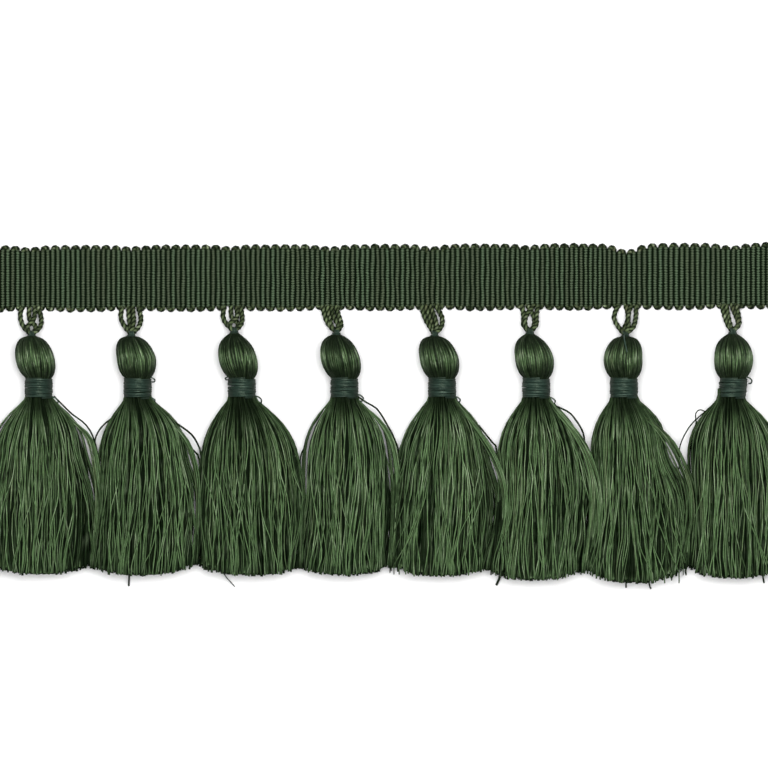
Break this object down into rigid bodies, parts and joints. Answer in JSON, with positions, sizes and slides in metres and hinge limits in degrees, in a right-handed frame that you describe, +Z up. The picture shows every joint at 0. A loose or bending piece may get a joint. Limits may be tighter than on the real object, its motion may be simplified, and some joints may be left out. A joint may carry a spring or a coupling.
{
  "type": "tassel fringe trim",
  "caption": "Length of sew-on trim: a ribbed woven heading with a row of ball-headed yarn tassels hung from its lower edge on short twisted loops.",
  "frame": {"origin": "middle of the heading's flat back face, which lies on the surface", "axes": "+X along the heading, +Y across it from the skirts' cut ends towards the heading's upper edge, +Z up out of the trim's face"},
  "size_m": [0.2003, 0.0853, 0.0095],
  "materials": {
    "heading_cloth": "matt warp-covered rib, grey green",
    "loop_cord": "matt two-ply twisted cord, dark olive green",
    "tassel_yarn": "lustrous loose yarn, forest green",
    "binding_thread": "lustrous wound thread, dark teal green"
  },
  "bodies": {
    "root": {"heading": "heading_cloth", "loop_left_1": "loop_cord", "loop_right_1": "loop_cord", "tie_1": "binding_thread", "tassel_1": "tassel_yarn", "binding_1": "binding_thread", "loop_left_2": "loop_cord", "loop_right_2": "loop_cord", "tie_2": "binding_thread", "tassel_2": "tassel_yarn", "binding_2": "binding_thread", "loop_left_3": "loop_cord", "loop_right_3": "loop_cord", "tie_3": "binding_thread", "tassel_3": "tassel_yarn", "binding_3": "binding_thread", "loop_left_4": "loop_cord", "loop_right_4": "loop_cord", "tie_4": "binding_thread", "tassel_4": "tassel_yarn", "binding_4": "binding_thread", "loop_left_5": "loop_cord", "loop_right_5": "loop_cord", "tie_5": "binding_thread", "tassel_5": "tassel_yarn", "binding_5": "binding_thread", "loop_left_6": "loop_cord", "loop_right_6": "loop_cord", "tie_6": "binding_thread", "tassel_6": "tassel_yarn", "binding_6": "binding_thread", "loop_left_7": "loop_cord", "loop_right_7": "loop_cord", "tie_7": "binding_thread", "tassel_7": "tassel_yarn", "binding_7": "binding_thread", "loop_left_8": "loop_cord", "loop_right_8": "loop_cord", "tie_8": "binding_thread", "tassel_8": "tassel_yarn", "binding_8": "binding_thread"}
  },
  "joints": []
}
